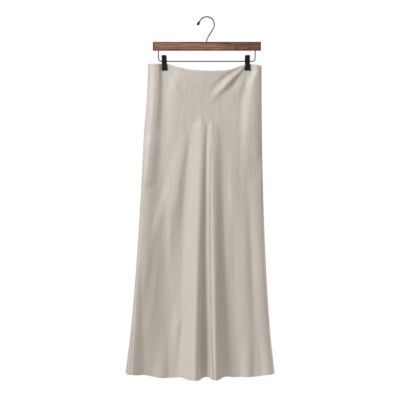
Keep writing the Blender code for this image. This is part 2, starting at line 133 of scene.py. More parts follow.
# Folds: ridges that stand out from the tube, or troughs where rise is negative. Each runs from
# (x0, down0) to (x1, down1), curved sideways by bow at its middle. left and right are the widths
# of its two flanks and rise its height, at its start (0), middle (m) and end (1). A flank's form
# is how late it turns down from the crest, and how softly it ends at its foot.
Flank = namedtuple("Flank", "turn foot")
SOFT = Flank(2.0, 2.0)
RAMP = Flank(1.5, 1.8)
PIPE = Flank(2.3, 1.05)
LEAN = Flank(2.0, 2.2)
Fold = namedtuple(
    "Fold",
    "name x0 down0 x1 down1 bow left0 left1 right0 right1 rise0 rise_m rise1 left_form right_form",
    defaults=(SOFT, SOFT),
)
FRONT_FOLDS = (
    Fold("mid_left", -.0162, .336, -.036, 1.094, -.003, .04, .052, .017, .021, .0045, .023, .05, RAMP, PIPE),
    Fold("mid_right", .016, .346, .0265, 1.094, .001, .017, .036, .034, .032, .004, .017, .044, RAMP, LEAN),
    Fold("mid_rise", 0, .34, -.002, 1.094, 0, .05, .09, .045, .075, .002, .009, .014),
    Fold("left_second", -.0665, .382, -.115, .76, -.007, .03, .07, .018, .042, .003, .01, 0, SOFT, LEAN),
    Fold("left_shoulder", -.153, .13, -.18, .48, .004, .018, .016, .022, .04, .004, .008, .005),
    Fold("left_roll", -.179, .39, -.232, 1.094, .002, .014, .019, .05, .14, .006, .034, .04, SOFT, LEAN),
    Fold("left_hem", -.206, .73, -.2265, 1.082, 0, .012, .014, .016, .044, .001, .013, .033),
    Fold("left_low", -.072, .82, -.0965, 1.020, 0, .022, .024, .014, .016, 0, .0045, .001),
    Fold("left_mid_hem", -.128, .96, -.133, 1.094, 0, .026, .032, .016, .02, 0, .004, .012),
    Fold("right_shoulder", .147, .134, .15, .398, 0, .026, .03, .02, .018, .0004, .0024, .003),
    Fold("right_band", .135, .17, .1205, .47, 0, .03, .026, .045, .055, .0045, .008, .001),
    Fold("right_upper", .1089, .503, .1209, 1.04, 0, .034, .038, .022, .03, 0, .006, .0025),
    Fold("right_edge", .148, .51, .176, .98, 0, .028, .034, .044, .05, .003, .0095, .004),
    Fold("right_mid_hem", .1209, .953, .1209, 1.088, 0, .02, .026, .02, .024, 0, .005, .009),
    Fold("right_corner", .172, .93, .189, 1.088, 0, .022, .026, .022, .024, 0, .006, .011),
    Fold("waist_drape", -.07, .185, .08, .2, .022, .09, .09, .05, .05, .002, .004, .0035),
    Fold("drape_upper", .1119, .149, .005, .232, -.0093, .01, .013, .01, .012, 0, -.0043, 0),
    Fold("drape_lower", .105, .163, .01, .25, 0, .01, .013, .016, .02, .002, .0055, 0),
    Fold("drape_under", .108, .174, .05, .232, 0, .01, .012, .012, .016, -.001, -.002, 0),
    Fold("drape_left", -.11, .16, -.035, .252, 0, .012, .024, .014, .028, -.002, -.0012, 0),
)
BACK_FOLDS = (
    Fold("centre", .02, .33, .03, 1.094, .006, .02, .044, .018, .036, 0, .03, .06, RAMP, PIPE),
    Fold("left", -.056, .4, -.098, 1.094, -.006, .016, .036, .02, .046, 0, .02, .046, SOFT, LEAN),
    Fold("right", .074, .43, .118, 1.094, .006, .018, .034, .018, .032, 0, .017, .04, LEAN, SOFT),
    Fold("left_shoulder", -.148, .13, -.17, .62, .004, .02, .016, .018, .036, .006, .009, .003),
    Fold("right_shoulder", .144, .132, .15, .64, .004, .02, .034, .016, .014, .007, .009, .003),
    Fold("left_edge", -.172, .74, -.193, 1.088, 0, .018, .024, .018, .03, 0, .008, .015),
    Fold("right_edge", .154, .8, .173, 1.088, 0, .018, .024, .012, .018, 0, .006, .011),
    Fold("waist_drape", -.08, .188, .075, .186, .024, .05, .05, .05, .05, .003, .008, .003),
    Fold("drape_left", -.112, .156, -.008, .262, 0, .01, .013, .012, .018, .003, .006, 0),
    Fold("drape_right", .106, .156, .02, .248, 0, .01, .012, .012, .016, .002, .0055, 0),
)
FOLD_END = 0.045  # a fold dies away over this length past its two ends
FOLD_TIP = 0.25  # the share of its width that a fold has left where it ends
FOLD_FREE_EDGE = 0.04  # share of the half width by each side edge over which the folds rise

# Finer creases, which only the shown cloth has. The free ones also cross the clips' valleys.
FRONT_CREASES = (
    Fold("centre_pleat", .0095, .4, .017, 1.094, -.0055, .009, .012, .0036, .005, .002, .005, .0085),
    Fold("left_line", -.2075, .77, -.2215, 1.06, 0, .0028, .003, .0026, .0028, -.0009, -.002, -.0024),
    Fold("left_slope", -.119, .5, -.164, .71, 0, .018, .02, .015, .018, 0, .003, 0),
    Fold("left_mid", -.106, .56, -.112, .76, 0, .01, .014, .012, .014, 0, .0018, 0),
    Fold("left_trough", -.15, .64, -.181, .9, 0, .018, .02, .018, .02, -.0004, -.003, -.001),
    Fold("low_ridge", -.08, .875, -.0925, .99, 0, .012, .014, .012, .014, .0002, .0016, .0003),
)
FREE_CREASES = (
    Fold("drape_ridge", .1105, .174, .0945, .24, 0, .022, .03, .01, .014, .0015, .0028, .0005),
    Fold("waist_pucker_a", -.042, .168, .006, .186, 0, .008, .01, .006, .008, .0002, .0007, .0001),
    Fold("waist_pucker_b", -.03, .178, .02, .2, 0, .008, .01, .007, .009, .0001, .0007, .0001),
    Fold("waist_streak", -.108, .172, -.07, .262, 0, .012, .018, .01, .016, .0006, .0012, .0002),
    Fold("right_mid", .074, .43, .082, .66, 0, .016, .02, .04, .05, .001, .004, 0),
)
BACK_CREASES = (
    Fold("centre_pleat", .046, .56, .066, 1.094, .002, .006, .012, .003, .005, 0, .004, .009),
)

# Each clip has its place along the wire and its tilt, and a valley runs down from it: how far it
# drifts sideways, its length, how soon it fades, how wide its floor is to the left of the clip and
# how that spreads downwards, and how far its two flanks reach, at the clip and at its lower end.
Clip = namedtuple(
    "Clip", "side x tilt drift length fade floor spread left_top left_low right_top right_low"
)
CLIPS = (
    Clip("left", -.1272, math.radians(-2.6), -.003, .3, 1, .0045, -.05, .012, .034, .036, .038),
    Clip("right", .1221, 0, -.022, .15, 2.2, .006, .74, .009, .026, .022, .028),
)
PINCH_FLAT = 0.0105  # how wide a valley's floor is to the right of its clip
PINCH_FLAT_SHARE = 0.25  # the share of the valley over which that narrows to nothing
PINCH_START = 0.1520  # from here down, the floor's left part spreads
PINCH_END = 0.1620  # the clips end here and the valleys start to fade

# --- The cloth's form ---


def eased(value):
    """0 to 1 with level ends."""
    value = np.clip(value, 0.0, 1.0)
    return value * value * (3.0 - 2.0 * value)


def column(table, name):
    """One named column of a table."""
    return np.array([getattr(row, name) for row in table])


def smooth(table, name, at):
    """A cubic through a table's column over its first one, with slopes from the rows beside."""
    places = column(table, table[0]._fields[0])
    values = column(table, name)
    slopes = np.gradient(values, places)
    first = np.clip(np.searchsorted(places, at) - 1, 0, len(places) - 2)
    span = places[first + 1] - places[first]
    t = np.clip((at - places[first]) / span, 0.0, 1.0)
    start = (1 + 2 * t) * (1 - t) ** 2 * values[first] + t * (1 - t) ** 2 * span * slopes[first]
    end = t * t * (3 - 2 * t) * values[first + 1] + t * t * (t - 1) * span * slopes[first + 1]
    return start + end


def level(side, across, share):
    """The depth below the origin at a share of the way from the waist edge to the hem."""
    waist = smooth(WAIST_EDGE, side, across)
    return waist + share * (smooth(HEM_EDGE, side, across) - waist)


def fold_height(fold, x, down):
    """How far one fold lifts the cloth at (x, down)."""
    run_x = fold.x1 - fold.x0
    run_down = fold.down1 - fold.down0
    length = math.hypot(run_x, run_down)
    along = ((x - fold.x0) * run_x + (down - fold.down0) * run_down) / length**2
    held = np.clip(along, 0.0, 1.0)
    aside = ((x - fold.x0) * run_down - (down - fold.down0) * run_x) / length
    aside = aside - 4.0 * fold.bow * held * (1.0 - held)
    past_end = np.maximum(-along, along - 1.0) * length
    fading = eased(1.0 - past_end / FOLD_END)
    taper = FOLD_TIP + (1.0 - FOLD_TIP) * fading
    left = taper * (fold.left0 + held * (fold.left1 - fold.left0))
    right = taper * (fold.right0 + held * (fold.right1 - fold.right0))
    off_crest = np.clip(np.abs(aside) / np.where(aside < 0, left, right), 0.0, 1.0)
    turn = np.where(aside < 0, fold.left_form.turn, fold.right_form.turn)
    foot = np.where(aside < 0, fold.left_form.foot, fold.right_form.foot)
    hill = (1.0 - off_crest**turn) ** foot
    early = fold.rise0 + 2.0 * held * (fold.rise_m - fold.rise0)
    late = fold.rise_m + (2.0 * held - 1.0) * (fold.rise1 - fold.rise_m)
    rise = np.where(held < 0.5, early, late)
    return rise * hill * fading


def pinch(x, down):
    """1 where a clip holds the two layers together, fading to 0 along the valley below it."""
    held = np.zeros_like(x)
    for clip in CLIPS:
        along = np.clip((down - PINCH_END) / clip.length, 0.0, 1.0)
        aside = x - clip.x - clip.drift * along
        left = clip.left_top + along * (clip.left_low - clip.left_top)
        right = clip.right_top + along * (clip.right_low - clip.right_top)
        reach = np.where(aside < 0, left, right)
        floor = np.maximum(clip.floor + clip.spread * (down - PINCH_START), 0.0)
        flat = np.where(aside < 0, floor, PINCH_FLAT * (1.0 - eased(along / PINCH_FLAT_SHARE)))
        across = eased(1.0 - (np.abs(aside) - flat) / reach)
        held = np.maximum(held, across * (1.0 - along) ** clip.fade)
    return held


def stand_off(side, x, down, sweep):
    """The layer's distance from the plane y = 0, where sweep runs from 0 to pi between the sides."""
    folds = FRONT_FOLDS + FRONT_CREASES if side == "front" else BACK_FOLDS + BACK_CREASES
    height = smooth(TUBE_DEPTHS, side, down) * np.maximum(np.sin(sweep), 0.0) ** TUBE_ROUNDNESS[side]
    clear_of_edge = eased((1.0 - np.abs(np.cos(sweep))) / FOLD_FREE_EDGE)
    height = height + clear_of_edge * sum(fold_height(fold, x, down) for fold in folds)
    held = pinch(x, down)
    free = FREE_CREASES if side == "front" else ()
    lifted = sum(fold_height(fold, x, down) for fold in free)
    return LAYER_PINCHED * held + (LAYER_REST + np.maximum(height, 0.0)) * (1.0 - held) + lifted


def half_profile(side, share):
    """One layer's section, left edge to right edge, as points that start and end on y = 0."""
    sweep = np.linspace(0.0, math.pi, PROFILE_STEPS)
    across = 0.5 - 0.5 * np.cos(sweep)
    down = level(side, across, share)
    left = smooth(SIDE_EDGES, "left", down)
    x = left + across * (smooth(SIDE_EDGES, "right", down) - left)
    toward = -1.0 if side == "front" else 1.0
    points = np.stack([x, toward * stand_off(side, x, down, sweep), -down], axis=1)
    ends = points[[0, -1]] * (1.0, 0.0, 1.0)
    return np.concatenate([ends[:1], points, ends[1:]])


def lengths_along(points):
    """How far each point lies along the line through all of them."""
    steps = np.linalg.norm(np.diff(points, axis=0), axis=1)
    return np.concatenate([[0.0], np.cumsum(steps)])


def circle(count):
    """Evenly spaced angles, once round."""
    return np.linspace(0.0, 2.0 * math.pi, count, endpoint=False)


def on_line(stops, travelled, values):
    """Values along a line of points, read at stops between them."""
    return np.stack([np.interp(stops, travelled, values[:, axis]) for axis in range(3)], axis=-1)


def section(side, share, columns):
    """One row of a panel's points, spaced along the cloth from seam to seam."""
    front = half_profile("front", share)
    rolled = smooth(TUBE_DEPTHS, "seam_roll", level("front", 0.0, share))
    if side == "front":
        loop, start = front, rolled
    else:
        wrapped = lengths_along(front) < rolled + 2.0 * SIDE_STEP
        loop = np.concatenate([front[wrapped][:0:-1], half_profile("back", share)])
        start = lengths_along(front[wrapped])[-1] - rolled
    travelled = lengths_along(loop)
    first = start + SEAM_GAP / 2
    last = travelled[-1] - SEAM_GAP / 2
    even = np.linspace(0.0, 1.0, columns - 2)
    crowded = 0.5 - 0.5 * np.cos(math.pi * even)
    spread = even + END_CROWDING * (crowded - even)
    inner = first + SIDE_STEP + spread * (last - first - 2.0 * SIDE_STEP)
    stops = np.concatenate([[first], inner, [last]])
    return on_line(stops, travelled, loop)


def value_noise(u, v, cell_u, cell_v, seed):
    """Soft noise from -1 to 1, whose bumps are about cell_u wide and cell_v long."""
    u = (u - u.min()) / cell_u
    v = (v - v.min()) / cell_v
    shape = (int(u.max()) + 2, int(v.max()) + 2)
    lattice = np.random.default_rng(seed).uniform(-1.0, 1.0, shape)
    i, j = u.astype(int), v.astype(int)
    fu, fv = eased(u - i), eased(v - j)
    low = lattice[i, j] * (1 - fu) + lattice[i + 1, j] * fu
    high = lattice[i, j + 1] * (1 - fu) + lattice[i + 1, j + 1] * fu
    return low * (1 - fv) + high * fv


# --- Making objects ---


def add_object(name, data, *finishes):
    made = bpy.data.objects.new(name, data)
    for finish in finishes:
        made.data.materials.append(finish)
    bpy.context.scene.collection.objects.link(made)
    return made


def settle(piece, slot, *replaced):
    """Puts a finished piece on the part's one body."""
    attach(piece, "root")
    if replaced:
        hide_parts(*replaced)
    return piece


def soft_shade(data, degrees):
    """Smooth shading, apart from edges sharper than an angle."""
    data.shade_smooth()
    data.set_sharp_from_angle(angle=math.radians(degrees))


def unit(vectors):
    return vectors / np.linalg.norm(vectors, axis=-1, keepdims=True)


def outward(points, side):
    """Unit normals of a grid of points, facing out of the tube."""
    down_rows = np.gradient(points, axis=0)
    along_row = np.gradient(points, axis=1)
    facing = unit(np.cross(down_rows, along_row))
    return -facing if side == "back" else facing


def new_mesh(name, points, faces):
    data = bpy.data.meshes.new(name)
    data.from_pydata(points.reshape(-1, 3).tolist(), [], faces)
    return data


def grid_mesh(name, points, side, cloth_u, cloth_v):
    """A sheet of quads through a grid of points, with a map of the cloth in metres."""
    rows, columns = points.shape[:2]
    here = np.arange(rows * columns).reshape(rows, columns)
    corners = [here[:-1, :-1], here[1:, :-1], here[1:, 1:], here[:-1, 1:]]
    if side == "back":
        corners = corners[::-1]
    faces = np.stack([corner.ravel() for corner in corners], axis=1)
    data = new_mesh(name, points, faces.tolist())
    layer = data.uv_layers.new(name="cloth")
    flat = np.stack([cloth_u.ravel()[faces.ravel()], cloth_v.ravel()[faces.ravel()]], axis=1)
    layer.data.foreach_set("uv", flat.astype(np.float32).ravel())
    data.shade_smooth()
    return data


def add_walls(piece, walls):
    """Gives a sheet its wall, row by row."""
    thickest = max(walls)
    columns = len(piece.data.vertices) // len(walls)
    group = piece.vertex_groups.new(name="wall")
    for row, wall in enumerate(walls):
        group.add(range(row * columns, (row + 1) * columns), wall / thickest, "REPLACE")
    solid = piece.modifiers.new("wall", "SOLIDIFY")
    solid.thickness = thickest
    solid.offset = 0.0
    solid.vertex_group = "wall"
    solid.material_offset = 1


# --- Materials ---


class Nodes:
    """A material's node tree, with short calls for the nodes that the finishes use."""

    def __init__(self, name):
        self.material = bpy.data.materials.new(name)
        self.material.use_nodes = True
        self.tree = self.material.node_tree
        self.shader = self.tree.nodes["Principled BSDF"]

    def set(self, **values):
        for name, value in values.items():
            self.shader.inputs[name.replace("_", " ")].default_value = value

    def add(self, kind, settings=(), **inputs):
        made = self.tree.nodes.new(kind)
        for name, value in dict(settings).items():
            setattr(made, name, value)
        for name, value in inputs.items():
            self.feed(made.inputs[name.replace("_", " ")], value)
        return made

    def feed(self, socket, value):
        if isinstance(value, bpy.types.NodeSocket):
            self.tree.links.new(value, socket)
        else:
            socket.default_value = value

    def noise(self, source, scale, detail=2.0, roughness=0.5, distortion=0.0):
        """Noise of about one bump a unit after the coordinates are multiplied by scale."""
        if source == "cloth":
            place = self.add("ShaderNodeUVMap", {"uv_map": "cloth"}).outputs["UV"]
        else:
            place = self.add("ShaderNodeTexCoord").outputs["Object"]
        made = self.add("ShaderNodeTexNoise", Scale=1.0, Detail=detail, Roughness=roughness)
        made.inputs["Distortion"].default_value = distortion
        scaled = self.add("ShaderNodeMapping", Vector=place, Scale=scale)
        self.feed(made.inputs["Vector"], scaled.outputs["Vector"])
        return made.outputs["Fac"]

    def math(self, operation, first, second=0.0):
        made = self.add("ShaderNodeMath", {"operation": operation})
        self.feed(made.inputs[0], first)
        self.feed(made.inputs[1], second)
        return made.outputs[0]

    def ranged(self, value, low, high, to_low, to_high):
        made = self.add("ShaderNodeMapRange", Value=value, From_Min=low, From_Max=high)
        made.inputs["To Min"].default_value = to_low
        made.inputs["To Max"].default_value = to_high
        return made.outputs["Result"]

    def mix(self, share, first, second):
        made = self.add("ShaderNodeMix", {"data_type": "RGBA"})
        self.feed(made.inputs["Factor"], share)
        for socket, color in ((made.inputs[6], first), (made.inputs[7], second)):
            self.feed(socket, (*color, 1.0) if isinstance(color, tuple) else color)
        return made.outputs[2]

    def bump(self, height, distance, strength, below=None):
        made = self.add("ShaderNodeBump", Distance=distance, Strength=strength, Height=height)
        if below is not None:
            self.feed(made.inputs["Normal"], below)
        return made.outputs["Normal"]

    def finish(self, **sockets):
        for name, value in sockets.items():
            self.feed(self.shader.inputs[name.replace("_", " ")], value)
        return self.material


def satin_finish(name, light, dark, gloss):
    """Satin: long vertical slubs, a little crinkle, and a soft directional gloss."""
    made = Nodes(name)
    slub = made.noise("cloth", (420.0, 14.0, 1.0), detail=3.0, roughness=0.6)
    patch = made.noise("cloth", (26.0, 6.0, 1.0), detail=3.0, roughness=0.55)
    thread = made.noise("cloth", (2600.0, 420.0, 1.0), detail=1.0)
    tone = made.math("ADD", made.math("MULTIPLY", slub, 0.55), made.math("MULTIPLY", patch, 0.45))
    color = made.mix(made.ranged(tone, 0.30, 0.70, 0.0, 1.0), dark, light)
    crinkle = made.noise("cloth", (120.0, 34.0, 1.0), detail=3.0, roughness=0.55, distortion=0.4)
    ripple = made.noise("cloth", (250.0, 55.0, 1.0), detail=2.0, roughness=0.6, distortion=0.3)
    lifted = made.bump(thread, 0.00005, 0.45)
    lifted = made.bump(slub, 0.0003, 0.65, lifted)
    lifted = made.bump(ripple, 0.0007, 0.6, lifted)
    lifted = made.bump(crinkle, 0.0013, 0.6, lifted)
    made.set(Sheen_Weight=0.10, Sheen_Roughness=0.45, Anisotropic=0.35, Specular_IOR_Level=0.45)
    roughness = made.ranged(slub, 0.25, 0.75, gloss - 0.03, gloss + 0.05)
    tangent = made.add("ShaderNodeTangent", {"direction_type": "UV_MAP", "uv_map": "cloth"})
    return made.finish(
        Base_Color=color, Roughness=roughness, Normal=lifted, Tangent=tangent.outputs["Tangent"]
    )


def thread_finish():
    """Sewing thread, a little darker than the satin."""
    made = Nodes("sewing_thread")
    twist = made.noise("object", (2200.0,) * 3)
    made.set(Sheen_Weight=0.2)
    return made.finish(
        Base_Color=made.mix(twist, (0.58, 0.525, 0.465), (0.67, 0.61, 0.545)),
        Roughness=made.ranged(twist, 0.0, 1.0, 0.45, 0.6),
        Normal=made.bump(twist, 0.0001, 0.5),
    )


# Knots of the walnut bar: their middles and half sizes.
Knot = namedtuple("Knot", "x z wide tall")
KNOTS = (
    Knot(.0905, -.0935, .0085, .0042),
    Knot(.129, -.092, .007, .0036),
    Knot(.06, -.08, .016, .0028),
)
WALNUT_STOPS = (
    (0.34, (0.130, 0.042, 0.024)),
    (0.48, (0.330, 0.124, 0.070)),
    (0.62, (0.560, 0.250, 0.152)),
)


def knot_share(made, axes, figure, knot):
    """How dark the wood is round a knot, whose ring follows the grain."""
    near_x = made.math("DIVIDE", made.math("SUBTRACT", axes["X"], knot.x), knot.wide)
    near_z = made.math("DIVIDE", made.math("SUBTRACT", axes["Z"], knot.z), knot.tall)
    squares = made.math("ADD", made.math("POWER", near_x, 2.0), made.math("POWER", near_z, 2.0))
    grain = made.math("MULTIPLY", made.math("SUBTRACT", figure, 0.5), 1.6)
    return made.ranged(made.math("ADD", made.math("SQRT", squares), grain), 0.35, 1.1, 0.72, 0.0)


def walnut_finish():
    """Oiled walnut: grain along the bar, painted shade along its top and bottom edges, and darker at its
    ends and right third.
    """
    made = Nodes("walnut_grain")
    low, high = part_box("hanger_bar")
    middle = (low + high) / 2
    to_end = high.x - middle.x
    place = made.add("ShaderNodeTexCoord").outputs["Object"]
    axes = made.add("ShaderNodeSeparateXYZ", Vector=place).outputs
    figure = made.noise("object", (7.0, 60.0, 130.0), detail=5.0, roughness=0.62, distortion=1.6)
    pore = made.noise("object", (60.0, 900.0, 1500.0), detail=3.0, roughness=0.6)
    patch = made.noise("object", (14.0, 20.0, 30.0), detail=2.0)
    off_middle = made.math("ABSOLUTE", made.math("SUBTRACT", axes["Z"], middle.z))
    off_centre = made.math("ABSOLUTE", made.math("SUBTRACT", axes["X"], middle.x))
    ramp = made.add("ShaderNodeValToRGB", Fac=figure)
    while len(ramp.color_ramp.elements) < len(WALNUT_STOPS):
        ramp.color_ramp.elements.new(0.5)
    for element, (stop, tone) in zip(ramp.color_ramp.elements, WALNUT_STOPS):
        element.position = stop
        element.color = (*tone, 1.0)
    shades = [
        (made.ranged(patch, 0.35, 0.7, 0.0, 0.45), (0.30, 0.16, 0.10)),
        (made.ranged(pore, 0.52, 0.66, 0.0, 0.55), (0.10, 0.040, 0.025)),
        (made.ranged(axes["X"], 0.02, 0.09, 0.0, 0.55), (0.125, 0.040, 0.026)),
    ]
    shades += [(knot_share(made, axes, figure, knot), (0.040, 0.015, 0.010)) for knot in KNOTS]
    shades += [
        # painted shade: the rounded top and bottom edges darkened as if turned away from the light
        (made.ranged(off_middle, 0.0085, 0.0122, 0.0, 0.75), (0.065, 0.030, 0.022)),
        (made.ranged(off_centre, to_end - 0.0050, to_end - 0.0028, 0.0, 0.9), (0.030, 0.017, 0.013)),
    ]
    color = ramp.outputs["Color"]
    for share, shade in shades:
        color = made.mix(share, color, shade)
    grain = made.bump(pore, 0.0002, 0.5, made.bump(figure, 0.0004, 0.4))
    made.set(Coat_Weight=0.08, Coat_Roughness=0.35)
    return made.finish(
        Base_Color=color, Roughness=made.ranged(figure, 0.3, 0.7, 0.52, 0.40), Normal=grain
    )


def steel_finish(name, light, dark):
    """Drawn steel wire, a little brushed and stained."""
    made = Nodes(name)
    draw = made.noise("object", (500.0, 500.0, 60.0), detail=3.0)
    stain = made.noise("object", (55.0,) * 3, detail=2.0)
    made.set(Metallic=1.0, Anisotropic=0.2)
    return made.finish(
        Base_Color=made.mix(made.ranged(stain, 0.3, 0.7, 0.0, 1.0), dark, light),
        Roughness=made.ranged(draw, 0.2, 0.8, 0.26, 0.42),
        Normal=made.bump(draw, 0.00005, 0.3),
    )


def black_finish(name, light, dark, gloss):
    """Moulded black: fine grain, and lighter where hands have rubbed it."""
    made = Nodes(name)
    grain = made.noise("object", (1400.0,) * 3, detail=3.0)
    rub = made.noise("object", (160.0,) * 3, detail=4.0, roughness=0.6)
    made.set(Specular_IOR_Level=0.3)
    return made.finish(
        Base_Color=made.mix(made.ranged(rub, 0.35, 0.75, 0.0, 1.0), dark, light),
        Roughness=made.ranged(rub, 0.3, 0.8, gloss, gloss + 0.15),
        Normal=made.bump(grain, 0.0001, 0.5),
    )


SATIN = satin_finish("satin_face", (0.715, 0.655, 0.590), (0.665, 0.600, 0.530), 0.46)
SATIN_INSIDE = satin_finish("satin_back", (0.60, 0.54, 0.48), (0.55, 0.49, 0.43), 0.70)
THREAD = thread_finish()
WALNUT = walnut_finish()
STEEL = steel_finish("gunmetal_wire", (0.20, 0.20, 0.21), (0.09, 0.09, 0.10))
DARK_STEEL = steel_finish("blackened_wire", (0.11, 0.11, 0.12), (0.035, 0.035, 0.04))
SPRING_STEEL = steel_finish("spring_wire", (0.40, 0.40, 0.42), (0.25, 0.25, 0.27))
TIP_BLACK = black_finish("tip_rubber_grain", (0.030, 0.030, 0.032), (0.012, 0.012, 0.013), 0.45)
CLIP_BLACK = black_finish("clip_plastic_grain", (0.009,) * 3, (0.003,) * 3, 0.48)

# --- The skirt ---

SIDE_LENGTH = float(level("front", 0.0, 1.0) - level("front", 0.0, 0.0))
HEM_START = 1.0 - HEM_HEIGHT / SIDE_LENGTH  # as a share of the way down
PANEL_COLUMNS = 380
PANEL_ROWS = 126
HEM_ROWS = 9
BODY_END = 0.0030  # above the hem, the body's last row
HEM_STEP = 0.0015  # above the hem, the first of its own closer rows
ROW_CROWDING = 1.25  # more than 1 for rows that crowd towards the waist
BAND_ROWS = 7
BAND_ROUNDING = 0.00035
TUCK = 0.0016  # the panel runs up under its band by this much
SEAM_WIDTH = 0.0026
SEAM_DIP = 0.0008
SEAM_CALM = 0.020  # the cloth evens out within this length of a seam
BAND_CALM = 0.030  # and within this length of its band
PUCKER_LENGTH = 0.013
PUCKER_REACH = 0.011
PUCKER_RISE = 0.00030
PUCKER_SEED = 5
GATHER_WIDTH = 0.0070
GATHER_REACH = 0.012
GATHER_RISE = 0.00014
GATHER_SEED = 9
BAND_GATHER_RISE = 0.00012
BAND_GATHER_TOP = 0.2  # the share of it that is left at the waist edge
STITCH_GROOVE = 0.00025
GROOVE_WIDTH = 0.0011
HEM_STITCHES = 0.0050  # above the hem's edge
BAND_STITCHES = 0.0016  # above the band's lower edge
STITCH_PITCH = 0.0028
STITCH_SHARE = 0.74  # of its pitch that a stitch lies on top of the cloth
STITCH_MARGIN = 0.0020  # from a side seam to the first stitch
STITCH_RADIUS = 0.00024
STITCH_ARCH = 0.5  # how far its middle rises, in radii
STITCH_SUNK = 0.2  # how far it lies in the cloth, in radii
STITCH_SIDES = 6

# A stitch's rings: their places along it, and their radii as shares of its own.
STITCH_PLACES = np.array([0.0, 0.12, 0.35, 0.65, 0.88, 1.0])
STITCH_SHAPE = np.array([0.35, 0.85, 1.0, 1.0, 0.85, 0.35])

# Unevenness of the cloth: width, length and height of its soft bumps.
Uneven = namedtuple("Uneven", "wide long high seed")
UNEVENNESS = (
    Uneven(.036, .21, .0008, 11),
    Uneven(.013, .085, .00027, 23),
    Uneven(.0065, .04, .00009, 37),
)


def panel_shares():
    """Rows of a panel, closer together at the waist and by the hem's stitching."""
    start = (BAND_HEIGHT - TUCK) / SIDE_LENGTH
    spread = np.linspace(0.0, 1.0, PANEL_ROWS - HEM_ROWS) ** ROW_CROWDING
    body = start + spread * (HEM_START - BODY_END / SIDE_LENGTH - start)
    hem = np.linspace(HEM_START - HEM_STEP / SIDE_LENGTH, 1.0, HEM_ROWS)
    return np.concatenate([body, hem])


def cloth_map(points):
    """The cloth's own coordinates, along the row and down the panel, and each row's own lengths."""
    steps = np.linalg.norm(np.diff(points, axis=1), axis=2)
    travelled = np.concatenate([np.zeros((len(points), 1)), np.cumsum(steps, axis=1)], axis=1)
    along = np.repeat(travelled.mean(axis=0)[None], len(points), axis=0)
    return along, -points[..., 2], travelled


def gathers(along):
    """Fine gathers under and in the band, which run up and down."""
    return value_noise(along, along * 0.0, GATHER_WIDTH, 1.0, GATHER_SEED)


def panel_points(side, shares):
    """A panel's grid of points with its unevenness, seam puckers, gathers and stitch groove."""
    points = np.array([section(side, share, PANEL_COLUMNS) for share in shares])
    along, down, travelled = cloth_map(points)
    across = np.linspace(0, 1, PANEL_COLUMNS)[None]
    free = 1.0 - pinch(points[..., 0], down)
    from_seam = np.minimum(travelled, travelled[:, -1:] - travelled)
    from_band = down - level(side, across, 0.0) - BAND_HEIGHT
    from_groove = level(side, across, 1.0) - down - HEM_STITCHES
    off_seam = eased(from_seam / SEAM_WIDTH)
    lift = np.zeros_like(down)
    for uneven in UNEVENNESS:
        lift += uneven.high * value_noise(along, down, uneven.wide, uneven.long, uneven.seed)
    lift *= free * eased(from_seam / SEAM_CALM) * eased((from_band + TUCK) / BAND_CALM)
    lift -= SEAM_DIP * (1.0 - off_seam)
    wave = value_noise(along * 0.0, down, 1.0, PUCKER_LENGTH, PUCKER_SEED)
    lift += PUCKER_RISE * wave * np.exp(-from_seam / PUCKER_REACH) * off_seam
    gather_fade = np.exp(-np.maximum(from_band, 0) / GATHER_REACH)
    lift += GATHER_RISE * gathers(along) * gather_fade * free
    lift -= STITCH_GROOVE * np.exp(-((from_groove / GROOVE_WIDTH) ** 2))
    return points + outward(points, side) * lift[..., None], along, down


def build_panel(side):
    shares = panel_shares()
    points, along, down = panel_points(side, shares)
    data = grid_mesh(f"{side}_satin", points, side, along, down)
    panel = add_object(f"{side}_satin", data, SATIN, SATIN_INSIDE)
    walls = [HEM_WALL if share >= HEM_START else CLOTH_WALL for share in shares]
    add_walls(panel, walls)
    return settle(panel, "satin", f"{side}_panel"), points


def build_band(side):
    shares = np.linspace(0.0, BAND_HEIGHT / SIDE_LENGTH, BAND_ROWS)
    points = np.array([section(side, share, PANEL_COLUMNS) for share in shares])
    along, down, _ = cloth_map(points)
    gather = gathers(along) * np.linspace(BAND_GATHER_TOP, 1.0, BAND_ROWS)[:, None]
    lift = BAND_GATHER_RISE * gather * (1.0 - pinch(points[..., 0], down))
    points = points + outward(points, side) * lift[..., None]
    data = grid_mesh(f"{side}_band", points, side, along, down)
    band = add_object(f"{side}_band", data, SATIN, SATIN_INSIDE)
    add_walls(band, [BAND_WALL] * BAND_ROWS)
    edge = band.modifiers.new("rounded", "BEVEL")
    edge.width = BAND_ROUNDING
    edge.segments = 3
    edge.limit_method = "ANGLE"
    edge.angle_limit = math.radians(60)
    return settle(band, "waist_satin", f"waistband_{side}"), points


